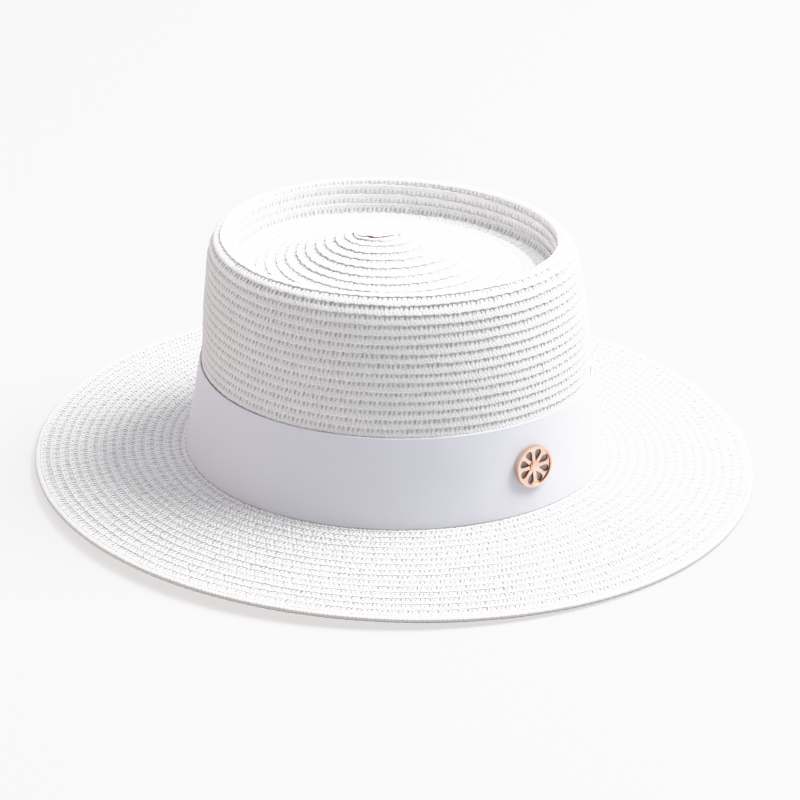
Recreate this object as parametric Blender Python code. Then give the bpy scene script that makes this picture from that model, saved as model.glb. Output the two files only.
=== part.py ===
"""Sewn straw hat: recessed crown, wide warped brim, lapped ribbon and a pierced badge.

Metres, +Z up, standing on z = 0. +X is the narrow front end of the head oval, and the hat's
long axis lies along X. Angles go round the hat from +X towards +Y.
"""
import math
from collections import namedtuple

import bmesh
import bpy
from mathutils import Matrix, Vector

# Head oval, measured inside the crown at its foot
HEAD_LENGTH = 0.1942
HEAD_WIDTH = 0.1654
EGG = 0.06             # how much narrower the front of the oval is than a true ellipse
STRAW = 0.0018         # wall of lapped, sewn braid
CLEAR = 0.0003         # gap kept between pieces

# Crown
CROWN_HEIGHT = 0.1089  # foot to the top of the rim
CROWN_LEAN = -0.0030   # how far the rim sits off the foot, along X
CROWN_SKEW = 0.0016    # how far the rim's oval is drawn out along one diagonal
SKEW_AT = 50.0         # direction of that diagonal, degrees
LEAN_CURVE = 3         # power of the height that the lean and the skew follow
SIDE_INSET = 0.0116    # how far the side wall comes in from its foot to the rim's shoulder
SHOULDER_IN = 0.0082   # soft outer shoulder of the rim, level run
SHOULDER_DOWN = 0.0130  # and its height
RIM_TOP = 0.0010       # level crest of the rim
RIM_ROUND = 0.0020     # fold from the crest into the recess
RECESS_DEPTH = 0.0165
RECESS_TAPER = 0.0020  # how far the recess wall comes in towards its floor
FOOT_ROUND = 0.0022    # fillet between the recess wall and its floor
TIP_RISE = 0.0160      # height of the raised tip over the recess floor
TIP_OFF_X = -0.0108    # where the braid's spiral starts, from the middle of the oval
TIP_OFF_Y = 0.0010

# Brim
BRIM_WIDTH = 0.0731    # from the crown's foot to the edge
BRIM_DROP = 0.0040     # how far the brim falls on its way out
SADDLE = 0.0023        # wave of the edge, up and down from its mean
SADDLE_AT = 61.0       # direction in which the edge is raised, degrees
EDGE_THICK = 0.0024    # folded edge
EDGE_FOLD = 0.0035     # width of the fold
EDGE_ROUND = 0.0006    # bevel of the edge's corners

# Ribbon
RIBBON_WIDTH = 0.0432  # up the side of the crown
RIBBON_THICK = 0.0010
RIBBON_LIFT = 0.0005   # lower edge over the brim
LAP_WIDTH = 0.030
LAP_AT = 92.0          # where the covered end of the ribbon lies, degrees
LAP_RAMP = 0.020       # length over which the upper end rises over the lower one

# Badge
BADGE_RADIUS = 0.0101
BADGE_AT = -43.6       # degrees round the oval
BADGE_UP = 0.50        # share of the ribbon's width
BADGE_THICK = 0.0013
BADGE_RIM = 0.0021     # height of the raised ring
BADGE_SOFT = 0.0003    # bevel of its corners
BOSS_HEIGHT = 0.0018
PETALS = 8
POST_RADIUS = 0.0010
HOLE_RADIUS = POST_RADIUS + CLEAR

# Fineness of the facets
ROUND_STEPS = 60
BRIM_STEPS = 80
BADGE_STEPS = 40
HOLE_STEPS = 12
ARC_STEPS = 3
LEAST_STEP = 0.2       # least share of a round step between the ribbon's end and its next ring
SETTLE_ROUNDS = 12     # rounds that find where the ribbon's width ends up the wall
MITRE_LIMIT = 0.5      # least cosine that a mitred corner is drawn out by

Side = namedtuple("Side", "height inset")
Brim = namedtuple("Brim", "out drop warp")
Gap = namedtuple("Gap", "radius half_width")

# Side wall, as shares of its height and of SIDE_INSET
SIDE_ROWS = [
    Side(height=0.000, inset=0.00),
    Side(height=0.018, inset=0.00),
    Side(height=0.210, inset=0.30),
    Side(height=0.440, inset=0.58),
    Side(height=0.740, inset=0.73),
    Side(height=1.000, inset=1.00),
]

# Shoulder of the rim, as shares of SHOULDER_DOWN and of SHOULDER_IN
SHOULDER_ROWS = [
    Side(height=0.35, inset=0.13),
    Side(height=0.62, inset=0.33),
    Side(height=0.83, inset=0.58),
    Side(height=0.95, inset=0.82),
    Side(height=1.00, inset=1.00),
]

# Brim, as shares of BRIM_WIDTH, of BRIM_DROP and of the edge's warp
BRIM_ROWS = [
    Brim(out=0.000, drop=0.00, warp=0.00),
    Brim(out=0.100, drop=0.04, warp=0.00),
    Brim(out=0.300, drop=0.18, warp=0.08),
    Brim(out=0.500, drop=0.38, warp=0.26),
    Brim(out=0.700, drop=0.61, warp=0.52),
    Brim(out=0.880, drop=0.84, warp=0.81),
    Brim(out=1.000, drop=1.00, warp=1.00),
]

# Recess floor, as shares of the way from the tip to the floor's edge
FLOOR_ROWS = [0.88, 0.72, 0.55, 0.38, 0.20, 0.06]

# Outline of one gap between two petals, as shares of BADGE_RADIUS
GAP_ROWS = [
    Gap(radius=0.27, half_width=0.010),
    Gap(radius=0.46, half_width=0.026),
    Gap(radius=0.62, half_width=0.052),
    Gap(radius=0.73, half_width=0.120),
    Gap(radius=0.785, half_width=0.235),
]
GAP_CROWN = 0.835      # middle of the gap's outer end
RING_INSIDE = 0.82     # inner edge of the badge's raised ring
BOSS_RADIUS = 0.20
BOSS_FLAT = 0.14       # level top of the boss


def clear_scene():
    for item in list(bpy.data.objects):
        bpy.data.objects.remove(item, do_unlink=True)


def material(name, colour, roughness, metallic=0.0):
    """A Principled material with one colour."""
    made = bpy.data.materials.new(name)
    made.use_nodes = True
    shader = made.node_tree.nodes["Principled BSDF"]
    shader.inputs["Base Color"].default_value = (*colour, 1.0)
    shader.inputs["Roughness"].default_value = roughness
    shader.inputs["Metallic"].default_value = metallic
    return made


def add_object(name, bm, finish, smooth_angle=35.0):
    """Turn a bmesh into a smooth-shaded object with faces pointing out."""
    bmesh.ops.recalc_face_normals(bm, faces=bm.faces)
    mesh = bpy.data.meshes.new(name)
    bm.to_mesh(mesh)
    bm.free()
    mesh.materials.append(finish)
    mesh.shade_smooth()
    mesh.set_sharp_from_angle(angle=math.radians(smooth_angle))
    made = bpy.data.objects.new(name, mesh)
    bpy.context.scene.collection.objects.link(made)
    return made


def skin_rings(bm, rings, closed):
    """Join rings of points with quads; a ring of one point is a pole."""
    loops = [[bm.verts.new(point) for point in ring] for ring in rings]
    pairs = list(zip(loops, loops[1:]))
    if closed:
        pairs.append((loops[-1], loops[0]))
    for low, high in pairs:
        count = max(len(low), len(high))
        if count == 1:
            continue
        for step in range(count):
            after = (step + 1) % count
            corners = [low[step % len(low)], low[after % len(low)],
                       high[after % len(high)], high[step % len(high)]]
            bm.faces.new(list(dict.fromkeys(corners)))


def head_oval(angle, inset=0.0):
    """Point on the outside of the crown's foot, drawn in by an inset."""
    along = HEAD_LENGTH / 2 + STRAW - inset
    across = HEAD_WIDTH / 2 + STRAW - inset
    x = along * math.cos(angle)
    y = across * math.sin(angle) * (1 - EGG * math.cos(angle))
    return Vector((x, y, 0.0))


def oval_normal(angle):
    """Level outward normal of the oval."""
    step = 1e-4
    run = head_oval(angle + step) - head_oval(angle - step)
    return Vector((run.y, -run.x, 0.0)).normalized()


def angles(count):
    return [2 * math.pi * step / count for step in range(count)]


def smooth_share(share):
    return share * share * (3 - 2 * share)


def side_height():
    return CROWN_HEIGHT - SHOULDER_DOWN


def side_inset(height):
    """Inset of the side wall at a height over the crown's foot."""
    share = height / side_height()
    for low, high in zip(SIDE_ROWS, SIDE_ROWS[1:]):
        if share <= high.height:
            part = (share - low.height) / (high.height - low.height)
            return SIDE_INSET * (low.inset + part * (high.inset - low.inset))
    return SIDE_INSET


def lean_at(height):
    return CROWN_LEAN * (max(height, 0.0) / CROWN_HEIGHT) ** LEAN_CURVE


def skew_at(angle, height):
    """How much wider the crown is in a direction than the head oval, at a height."""
    share = (max(height, 0.0) / CROWN_HEIGHT) ** LEAN_CURVE
    return CROWN_SKEW * share * math.cos(2 * (angle - math.radians(SKEW_AT)))


def side_point(angle, height, outward=0.0):
    """Point off the crown's side wall, moved out level by some distance."""
    point = head_oval(angle, side_inset(height) - outward - skew_at(angle, height))
    point.x += lean_at(height)
    point.z = height
    return point


def recess_inset():
    return SIDE_INSET + SHOULDER_IN + RIM_TOP + RIM_ROUND


def floor_inset():
    return recess_inset() + RECESS_TAPER + FOOT_ROUND


def floor_run():
    """Mean way from the floor's edge to the tip."""
    return (HEAD_LENGTH + HEAD_WIDTH) / 4 + STRAW - floor_inset()


def arc(centre, radius, start, end, steps=ARC_STEPS):
    """Points on an arc in the section, angles in degrees, both ends included."""
    turns = [math.radians(start + (end - start) * step / steps) for step in range(steps + 1)]
    return [(centre[0] + radius * math.cos(turn), centre[1] + radius * math.sin(turn)) for turn in turns]


def crown_section():
    """Outer line of the crown as (inset, height), from its foot over the rim to the tip."""
    line = [(row.inset * SIDE_INSET, row.height * side_height()) for row in SIDE_ROWS]
    for row in SHOULDER_ROWS:
        line.append((SIDE_INSET + row.inset * SHOULDER_IN, side_height() + row.height * SHOULDER_DOWN))
    line += arc((recess_inset() - RIM_ROUND, CROWN_HEIGHT - RIM_ROUND), RIM_ROUND, 90, 0)
    floor = CROWN_HEIGHT - RECESS_DEPTH
    line += arc((floor_inset(), floor + FOOT_ROUND), FOOT_ROUND, 180, 270, ARC_STEPS - 1)
    for share in FLOOR_ROWS + [0.0]:
        height = floor + TIP_RISE * (1 - smooth_share(share))
        line.append((floor_inset() + floor_run() * (1 - share), height))
    return line


def offset_line(line, distance):
    """The section moved towards the hollow side by a distance, with mitred corners."""
    moved = []
    for place, point in enumerate(line):
        before = line[max(place - 1, 0)]
        after = line[min(place + 1, len(line) - 1)]
        here = Vector(point)
        into = (here - Vector(before)).normalized() if place > 0 else None
        out = (Vector(after) - here).normalized() if place < len(line) - 1 else None
        if into is None:
            side = Vector((out.y, -out.x))
        elif out is None:
            side = Vector((0.0, -1.0))
        else:
            side = (Vector((into.y, -into.x)) + Vector((out.y, -out.x))).normalized()
            side /= max(side.dot(Vector((out.y, -out.x))), MITRE_LIMIT)
        moved.append((here.x + side.x * distance, here.y + side.y * distance))
    return moved


def crown_ring(inset, height):
    """One ring of the crown; past the floor's edge the rings shrink towards the tip."""
    inner = min(max((inset - floor_inset()) / floor_run(), 0.0), 1.0)
    tip = Vector((TIP_OFF_X, TIP_OFF_Y, 0.0))
    if inner > 0.999:
        return [tip + Vector((lean_at(height), 0.0, height))]
    ring = []
    for angle in angles(ROUND_STEPS):
        edge = head_oval(angle, min(inset, floor_inset()) - skew_at(angle, height))
        point = edge.lerp(tip, inner)
        ring.append(point + Vector((lean_at(height), 0.0, height)))
    return ring


def crown_foot():
    """Height of the crown's foot over the table."""
    return brim_top(BRIM_ROWS[0], 0.0) + CLEAR


def build_crown(finish):
    outer = crown_section()
    inner = offset_line(outer, STRAW)
    bm = bmesh.new()
    skin_rings(bm, [crown_ring(*point) for point in reversed(inner)]
               + [crown_ring(*point) for point in outer], closed=False)
    crown = add_object("crown", bm, finish)
    crown.location.z = crown_foot()
    return crown


def edge_lift(angle):
    """Height of the brim's edge over the table; it touches at two opposite places."""
    return SADDLE * (1 + math.cos(2 * (angle - math.radians(SADDLE_AT))))


def brim_row(out):
    """The brim's row at a share of its width, between the rows of the table."""
    for low, high in zip(BRIM_ROWS, BRIM_ROWS[1:]):
        if out <= high.out:
            part = (out - low.out) / (high.out - low.out)
            drop = low.drop + part * (high.drop - low.drop)
            warp = low.warp + part * (high.warp - low.warp)
            return Brim(out, drop, warp)
    return BRIM_ROWS[-1]


def brim_top(row, angle):
    """Height of the brim's upper face, over the table."""
    root = EDGE_THICK + SADDLE + BRIM_DROP
    return root - BRIM_DROP * row.drop + (edge_lift(angle) - SADDLE) * row.warp


def brim_ring(out, row, below):
    """A ring on the brim at a distance from the crown's foot, lowered by some thickness."""
    ring = []
    for angle in angles(BRIM_STEPS):
        point = head_oval(angle) + oval_normal(angle) * out
        ring.append(point + Vector((0.0, 0.0, brim_top(row, angle) - below)))
    return ring


def build_brim(finish):
    edge = BRIM_ROWS[-1]
    fold = brim_row(1 - EDGE_FOLD / BRIM_WIDTH)
    fold_at = BRIM_WIDTH - EDGE_FOLD
    swell = (EDGE_THICK - STRAW) / 2
    rows = [row for row in BRIM_ROWS if row.out < fold.out]
    top = [brim_ring(-STRAW, rows[0], 0.0)]
    top += [brim_ring(row.out * BRIM_WIDTH, row, 0.0) for row in rows]
    top += [brim_ring(fold_at, fold, swell), brim_ring(fold_at + EDGE_ROUND, fold, 0.0)]
    rim = [brim_ring(BRIM_WIDTH - EDGE_ROUND, edge, 0.0),
           brim_ring(BRIM_WIDTH, edge, EDGE_ROUND),
           brim_ring(BRIM_WIDTH, edge, EDGE_THICK - EDGE_ROUND),
           brim_ring(BRIM_WIDTH - EDGE_ROUND, edge, EDGE_THICK)]
    below = [brim_ring(fold_at + EDGE_ROUND, fold, EDGE_THICK), brim_ring(fold_at, fold, swell + STRAW)]
    below += [brim_ring(row.out * BRIM_WIDTH, row, STRAW) for row in reversed(rows)]
    below += [brim_ring(-STRAW, rows[0], STRAW)]
    bm = bmesh.new()
    skin_rings(bm, top + rim + below, closed=True)
    return add_object("brim", bm, finish)


def ribbon_heights():
    """Heights of the ribbon's rings over the crown's foot: its edges and the wall's bends."""
    low = RIBBON_LIFT
    bottom = Vector((side_inset(low), low))
    high = low + RIBBON_WIDTH
    for turn in range(SETTLE_ROUNDS):
        top = Vector((side_inset(high), high))
        high += RIBBON_WIDTH - (top - bottom).length
    bends = [row.height * side_height() for row in SIDE_ROWS]
    return [low] + [bend for bend in bends if low + CLEAR < bend < high - CLEAR] + [high]


def ribbon_angles():
    """Angles along the ribbon, from its covered end round to its upper end."""
    mean = (HEAD_LENGTH + HEAD_WIDTH) / 4 + STRAW
    lap = LAP_WIDTH / mean
    start = math.radians(LAP_AT)
    end = start + 2 * math.pi + lap
    step = 2 * math.pi / ROUND_STEPS
    first = math.ceil(start / step + LEAST_STEP)
    last = math.floor(end / step - LEAST_STEP)
    return [start] + [turn * step for turn in range(first, last + 1)] + [end], end - lap, mean


def build_ribbon(finish):
    """A strip that goes once round the crown and over its own start."""
    heights = ribbon_heights()
    turns, over_start, mean = ribbon_angles()
    ramp = LAP_RAMP / mean
    bm = bmesh.new()
    loops = []
    for turn in turns:
        rise = smooth_share(min(max((turn - over_start + ramp) / ramp, 0.0), 1.0))
        gap = CLEAR + rise * (RIBBON_THICK + CLEAR)
        inside = [side_point(turn, height, gap) for height in heights]
        outside = [side_point(turn, height, gap + RIBBON_THICK) for height in reversed(heights)]
        loops.append([bm.verts.new(point) for point in inside + outside])
    for low, high in zip(loops, loops[1:]):
        for place in range(len(low)):
            after = (place + 1) % len(low)
            bm.faces.new([low[place], low[after], high[after], high[place]])
    bm.faces.new(loops[0])
    bm.faces.new(loops[-1])
    ribbon = add_object("hat_band", bm, finish)
    ribbon.location.z = crown_foot()
    return ribbon


def badge_frame():
    """Where the badge's back lies and how it is turned: local z points out of the wall."""
    angle = math.radians(BADGE_AT)
    heights = ribbon_heights()
    height = heights[0] + BADGE_UP * (heights[-1] - heights[0])
    step = 0.001
    out = CLEAR + RIBBON_THICK
    place = side_point(angle, height, out)
    across = side_point(angle + step, height, out) - side_point(angle - step, height, out)
    upward = side_point(angle, height + step, out) - side_point(angle, height - step, out)
    normal = across.cross(upward).normalized()
    across = upward.cross(normal).normalized()
    turned = Matrix((across, normal.cross(across), normal)).transposed().to_4x4()
    place = place + normal * CLEAR + Vector((0.0, 0.0, crown_foot()))
    return Matrix.Translation(place) @ turned


def post_length():
    """From the badge's back through the ribbon and flush with the inside of the crown."""
    return RIBBON_THICK + STRAW + 2 * CLEAR


def gap_cutter(frame):
    """Eight petal gaps as one mesh of prisms through the badge."""
    bm = bmesh.new()
    depth = BADGE_RIM + BADGE_THICK
    for petal in range(PETALS):
        turn = Matrix.Rotation(2 * math.pi * (petal + 0.5) / PETALS, 4, "Z")
        outline = [(row.radius, -row.half_width) for row in GAP_ROWS] + [(GAP_CROWN, 0.0)]
        outline += [(row.radius, row.half_width) for row in reversed(GAP_ROWS)]
        low = -BADGE_THICK
        corners = [Vector((x * BADGE_RADIUS, y * BADGE_RADIUS, low)) for x, y in outline]
        face = bm.faces.new([bm.verts.new(turn @ corner) for corner in corners])
        grown = bmesh.ops.extrude_face_region(bm, geom=[face])
        tops = [item for item in grown["geom"] if isinstance(item, bmesh.types.BMVert)]
        bmesh.ops.translate(bm, verts=tops, vec=(0.0, 0.0, depth + BADGE_THICK))
    cutter = add_object("gap_cutter", bm, bpy.data.materials["badge_metal"])
    return hide_cutter(cutter, frame)


def hide_cutter(cutter, frame):
    cutter.matrix_world = frame
    cutter.hide_render = True
    cutter.display_type = "WIRE"
    return cutter


def cut(target, cutter):
    change = target.modifiers.new("cut", "BOOLEAN")
    change.operation = "DIFFERENCE"
    change.solver = "EXACT"
    change.object = cutter


def build_badge(finish, frame):
    """A turned plate with a raised ring, a boss and a post behind, then pierced."""
    ring_in = RING_INSIDE * BADGE_RADIUS
    boss = BOSS_RADIUS * BADGE_RADIUS
    soft = BADGE_SOFT
    section = [
        (BOSS_FLAT * BADGE_RADIUS, BOSS_HEIGHT), (boss, BOSS_HEIGHT - soft), (boss + soft, BADGE_THICK),
        (ring_in, BADGE_THICK), (ring_in + soft, BADGE_RIM), (BADGE_RADIUS - soft, BADGE_RIM),
        (BADGE_RADIUS, BADGE_RIM - soft), (BADGE_RADIUS, 0.0), (POST_RADIUS, 0.0),
        (POST_RADIUS, -post_length()),
    ]
    rings = [[Vector((0.0, 0.0, BOSS_HEIGHT + soft / 2))]]
    for radius, height in section:
        ring = []
        for angle in angles(BADGE_STEPS):
            ring.append(Vector((radius * math.cos(angle), radius * math.sin(angle), height)))
        rings.append(ring)
    rings.append([Vector((0.0, 0.0, -post_length()))])
    bm = bmesh.new()
    skin_rings(bm, rings, closed=False)
    badge = add_object("badge", bm, finish)
    badge.matrix_world = frame
    cut(badge, gap_cutter(frame))
    return badge


def drill_post_hole(pieces, frame):
    """One hole through the ribbon and the crown for the badge's post."""
    bm = bmesh.new()
    length = 4 * post_length()
    bmesh.ops.create_cone(bm, cap_ends=True, segments=HOLE_STEPS, radius1=HOLE_RADIUS,
                          radius2=HOLE_RADIUS, depth=length)
    cutter = hide_cutter(add_object("post_hole", bm, bpy.data.materials["badge_metal"]), frame)
    for piece in pieces:
        cut(piece, cutter)


def main():
    clear_scene()
    straw = material("white_straw", (0.84, 0.83, 0.81), 0.75)
    cloth = material("white_ribbon", (0.80, 0.80, 0.83), 0.55)
    metal = material("badge_metal", (0.86, 0.58, 0.42), 0.22, metallic=1.0)
    build_brim(straw)
    crown = build_crown(straw)
    ribbon = build_ribbon(cloth)
    frame = badge_frame()
    build_badge(metal, frame)
    drill_post_hole([crown, ribbon], frame)


main()
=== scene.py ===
"""Looks of the sewn straw hat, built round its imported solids.

The straw is flat plaited braid, sewn so that the inner turn lies over the next one outwards. It is
modelled as that braid: a closed flat band that follows the hat's form, with its lapped edge,
scallops and stitch holes as geometry, and its plaited strands as bump. Metres, +Z up.
"""

import math
from collections import namedtuple

import bpy
import numpy as np
from mathutils import Euler, Matrix, Vector


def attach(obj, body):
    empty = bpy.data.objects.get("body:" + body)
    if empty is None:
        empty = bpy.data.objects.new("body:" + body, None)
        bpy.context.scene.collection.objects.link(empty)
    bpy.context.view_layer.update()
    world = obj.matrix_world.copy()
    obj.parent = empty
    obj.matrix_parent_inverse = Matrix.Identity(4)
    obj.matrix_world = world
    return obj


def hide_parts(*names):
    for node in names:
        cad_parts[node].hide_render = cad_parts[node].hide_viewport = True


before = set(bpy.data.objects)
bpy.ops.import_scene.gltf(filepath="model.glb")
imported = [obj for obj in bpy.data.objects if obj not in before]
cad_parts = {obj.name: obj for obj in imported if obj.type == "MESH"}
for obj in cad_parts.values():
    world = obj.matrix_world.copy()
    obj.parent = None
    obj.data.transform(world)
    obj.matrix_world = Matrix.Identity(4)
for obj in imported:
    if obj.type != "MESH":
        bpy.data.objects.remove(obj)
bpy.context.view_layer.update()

# Head oval and crown
HEAD_LENGTH = 0.1942
HEAD_WIDTH = 0.1654
EGG = 0.06
STRAW = 0.0018
CLEAR = 0.0003
CROWN_FOOT = 0.0090    # height of the crown's foot over the table
CROWN_HEIGHT = 0.1089
CROWN_LEAN = -0.0030
CROWN_SKEW = 0.0016
SKEW_AT = 50.0         # degrees
LEAN_CURVE = 3
SIDE_INSET = 0.0116
SHOULDER_IN = 0.0082
SHOULDER_DOWN = 0.0130
RIM_TOP = 0.0010
RIM_ROUND = 0.0020
RECESS_DEPTH = 0.0165
RECESS_TAPER = 0.0020
FOOT_ROUND = 0.0022
TIP_RISE = 0.0160
TIP_OFF_X = -0.0108
TIP_OFF_Y = 0.0010

# Brim
BRIM_WIDTH = 0.0731
BRIM_DROP = 0.0040
SADDLE = 0.0023
SADDLE_AT = 61.0       # degrees
EDGE_THICK = 0.0024
EDGE_WIDTH = 0.0031
DROP_CURVE = 1.4
WARP_CURVE = 2.0

# Braid
STITCH = 0.00445       # one repeat of the plait along the braid
TIP_PITCH = 0.00533    # step of one turn on the raised tip
SIDE_PITCH = 0.00452   # step of one turn on the rest of the crown
TIP_TURNS = 13
TIP_OVAL = 0.0030      # how far the first turns are stretched along the head
TIP_SPREAD = 0.014
SPIRAL_START = -0.95   # the first turn closes the middle of the tip
SPIRAL_PHASE = 0.4     # of a turn, from the front of the head
CROWN_TURNS = 40.8
BRIM_ROWS = 16
BRIM_START = -0.0015   # where the brim's first row begins, out from the crown's foot
ROW_LEAD = 0.37        # of a turn, from one row's first stitch to the next one's
ROW_SHIFT = 400        # stitches by which the rows' irregularity is moved on
EDGE_LAP = 0.0006      # how far the last row runs under the folded edge
EDGE_COLUMNS = 1160
EDGE_SIDES = 12
EDGE_LEVEL = 0.75      # powers below 1 square the edge's round section
EDGE_UPRIGHT = 0.85
EDGE_RIPPLE = 0.05     # share by which each stitch swells the edge
ARC_STEPS = 6
TURN_STEPS = 360       # points a turn by which the crown's spiral is measured
ROW_STEPS = 1440       # points by which a row of the brim is measured
FIRST_STITCHES = 16.0  # stretch of the spiral with closer columns, and their step
FIRST_STEP = 0.1

# Ribbon
RIBBON_WIDTH = 0.0432
RIBBON_THICK = 0.0010
RIBBON_LIFT = 0.0005
RIBBON_DROP = 0.0008   # how far the cloth hangs below its solid, down to the brim's braid
LAP_WIDTH = 0.030
LAP_AT = 92.0          # degrees
LAP_RAMP = 0.020
RIBBON_PLY = 0.00085   # the cloth itself
RIBBON_GAP = 0.0004
RIBBON_STEP = 0.0018
RIBBON_SOFT = 0.00018  # how much thinner its two edges are
RIBBON_HUG = 0.00022   # how much closer its upper edge lies to the crown
SLACK_BEHIND = 0.6     # share of the slack that its inside follows
SETTLE_ROUNDS = 12     # rounds that find where its width ends up the wall

# Badge
BADGE_AT = -43.6       # degrees
BADGE_UP = 0.50
BADGE_RADIUS = 0.0098
BADGE_THICK = 0.0013
BADGE_RIM = 0.0021
RING_EDGE = 0.00035    # bevel and level width of the raised ring
RING_WIDTH = 0.00075
BOSS_INSET = 0.0062    # from the ring to the boss
BOSS_HEIGHT = 0.0018
BOSS_EASE = 0.0005     # width and height of the boss's top step
BOSS_TOP = 0.0002
BADGE_SOFT = 0.00022
PETALS = 8
GAP_FROM = 0.0025      # the gap between two petals: where it begins, its length and half width
GAP_LONG = 0.0059
GAP_WIDE = 0.00235
GAP_LEAST = 0.00030
GAP_SWELL = 1.2        # power by which it widens outwards
GAP_BOW = 60.0         # how far its sides bow inwards, a metre

Side = namedtuple("Side", "height inset")
Polar = namedtuple("Polar", "way angle")
Across = namedtuple("Across", "part raised")
Stray = namedtuple("Stray", "size reach")

# Side wall and shoulder of the crown, as shares of their height and inset
SIDE_ROWS = [
    Side(0.000, 0.00), Side(0.018, 0.00), Side(0.210, 0.30),
    Side(0.440, 0.58), Side(0.740, 0.73), Side(1.000, 1.00),
]
SHOULDER_ROWS = [
    Side(0.35, 0.12), Side(0.62, 0.30), Side(0.84, 0.50), Side(0.955, 0.74), Side(1.00, 1.00),
]
FLOOR_ROWS = [0.88, 0.72, 0.55, 0.38, 0.20, 0.06, 0.0]

# Upper face of the braid: share of the row's pitch, and height over the hat's form in metres
FACE_ROWS = [
    Across(-0.20, -0.00084), Across(0.02, -0.00064), Across(0.13, -0.00058), Across(0.27, -0.00046),
    Across(0.50, -0.00026), Across(0.72, -0.00009), Across(0.90, 0.00008), Across(1.00, -0.00006),
]
# Lower face, from the lapped edge back to the hidden one
BACK_ROWS = [
    Across(1.00, -0.00062), Across(0.60, -0.00072), Across(0.15, -0.00108), Across(-0.20, -0.00136),
]
# Places of the columns along one repeat of the plait
FINE_COLUMNS = [0.0, 0.2, 0.44, 0.66, 0.85]
COARSE_COLUMNS = [0.0, 0.5]

# Front edge of the braid's folded beginning: metres from the middle of the tip, and degrees
START_FOLD = [
    Polar(0.0090, 174.0), Polar(0.0070, 205.0), Polar(0.0060, 234.0), Polar(0.0044, 268.0),
    Polar(0.0064, 292.0), Polar(0.0068, 332.0), Polar(0.0092, 4.0), Polar(0.0125, 24.0),
]
START_COLUMNS = 61
START_EASE = 9         # columns over which its corners are eased
START_SLOPE = 0.0011   # rise of its face over one pitch
START_SINK = 0.0006
START_FADE = 0.00035   # how deep its two ends go under
START_THICK = 0.0005
KNOT_AT = Polar(0.0054, 272.0)
KNOT_SIZE = (0.0017, 0.00042, 0.00034)
KNOT_LIFT = 0.0002
KNOT_TURN = -14.0      # degrees

HOLE_DEEP = 0.00034
HOLE_LONG = 0.13       # share of the stitch
HOLE_TALL = 0.15       # share of the pitch
HOLE_AT = 0.19
HOLE_MEAN = 0.8
DENT_DEEP = 0.00022
DENT_LONG = 0.12
DENT_AT = 0.44
EDGE_FROM = 0.6        # share of the pitch where the lapped edge begins
SCALLOP = 0.045        # share of the pitch
BRIM_DEPTH = 0.48      # the brim's braid is pressed flatter

# Irregularities: their size, and how far apart they are, in stitches or on the ribbon in metres
HOLE_STRAY = Stray(0.45, 1.0)
LAP_LONG = Stray(0.06, 6.0)
LAP_SHORT = Stray(0.035, 0.9)
FACE_STRAY = Stray(0.00007, 4.0)
EDGE_STRAY = Stray(0.05, 3.0)
SLACK_LONG = Stray(0.00014, 0.022)
SLACK_SHORT = Stray(0.00010, 0.009)
HEM_STRAY = Stray(0.00018, 0.030)


def smooth_share(share):
    return share * share * (3 - 2 * share)


# Form of the hat


def head_oval(angle, inset):
    """Level points of the head oval, drawn in by an inset."""
    x = (HEAD_LENGTH / 2 + STRAW - inset) * np.cos(angle)
    y = (HEAD_WIDTH / 2 + STRAW - inset) * np.sin(angle) * (1 - EGG * np.cos(angle))
    return x, y


def oval_normal(angle):
    """Level outward normal of the oval."""
    across = HEAD_WIDTH / 2 + STRAW
    run_x = -(HEAD_LENGTH / 2 + STRAW) * np.sin(angle)
    run_y = across * (np.cos(angle) * (1 - EGG * np.cos(angle)) + EGG * np.sin(angle) ** 2)
    length = np.hypot(run_x, run_y)
    return run_y / length, -run_x / length


def floor_inset():
    return SIDE_INSET + SHOULDER_IN + RIM_TOP + RIM_ROUND + RECESS_TAPER + FOOT_ROUND


def floor_run():
    return (HEAD_LENGTH + HEAD_WIDTH) / 4 + STRAW - floor_inset()


def arc(centre, radius, start, end, steps):
    turns = np.radians(np.linspace(start, end, steps + 1))
    return [(centre[0] + radius * math.cos(turn), centre[1] + radius * math.sin(turn))
            for turn in turns]


def crown_section():
    """Outer line of the crown as (inset, height), from its foot over the rim to the tip."""
    side = CROWN_HEIGHT - SHOULDER_DOWN
    floor = CROWN_HEIGHT - RECESS_DEPTH
    line = [(row.inset * SIDE_INSET, row.height * side) for row in SIDE_ROWS]
    for row in SHOULDER_ROWS:
        line.append((SIDE_INSET + row.inset * SHOULDER_IN, side + row.height * SHOULDER_DOWN))
    fold = SIDE_INSET + SHOULDER_IN + RIM_TOP
    line += arc((fold, CROWN_HEIGHT - RIM_ROUND), RIM_ROUND, 90, 0, ARC_STEPS)
    line += arc((floor_inset(), floor + FOOT_ROUND), FOOT_ROUND, 180, 270, ARC_STEPS)
    for share in FLOOR_ROWS:
        height = floor + TIP_RISE * (1 - smooth_share(share))
        line.append((floor_inset() + floor_run() * (1 - share), height))
    return np.array(line)


def softened(line, step=0.00025, reach=0.0016):
    """The line by equal steps with its corners eased, and the way along it from its end."""
    line = line[::-1]
    way = np.r_[0.0, np.cumsum(np.hypot(*np.diff(line, axis=0).T))]
    even = np.arange(0.0, way[-1], step)
    width = int(reach / step)
    weights = np.hanning(2 * width + 3)[1:-1]
    weights /= weights.sum()
    eased = []
    for column in range(2):
        values = np.interp(even, way, line[:, column])
        before = 2 * values[0] - values[width:0:-1]
        after = 2 * values[-1] - values[-2:-width - 2:-1]
        eased.append(np.convolve(np.r_[before, values, after], weights, "valid"))
    return even, eased[0], eased[1]


CROWN_LINE = softened(crown_section())


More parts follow.
